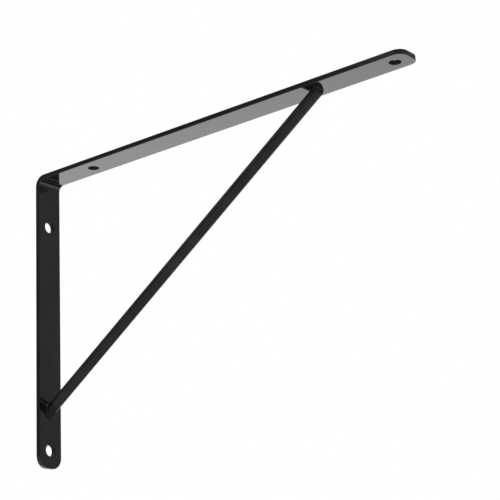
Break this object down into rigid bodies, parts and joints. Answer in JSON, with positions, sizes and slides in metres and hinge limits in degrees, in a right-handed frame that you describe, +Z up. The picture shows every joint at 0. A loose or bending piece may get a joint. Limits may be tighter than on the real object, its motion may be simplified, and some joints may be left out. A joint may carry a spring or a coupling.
{
  "type": "shelf bracket",
  "caption": "L-shaped shelf bracket bent from flat steel bar and braced by a welded round strut, with screw holes for the wall and the shelf.",
  "frame": {"origin": "middle of the two wall screw holes, on the wall face", "axes": "+X out from the wall along the arm, +Y across the bar, +Z up"},
  "size_m": [0.3, 0.0196, 0.2],
  "materials": {
    "black_enamel": "gloss",
    "black_enamel_strut": "gloss",
    "black_enamel_weld": "gloss, over smooth weld metal"
  },
  "bodies": {
    "root": {"bent_bar": "black_enamel", "strut": "black_enamel_strut", "upper_weld": "black_enamel_weld", "lower_weld": "black_enamel_weld"}
  },
  "joints": []
}
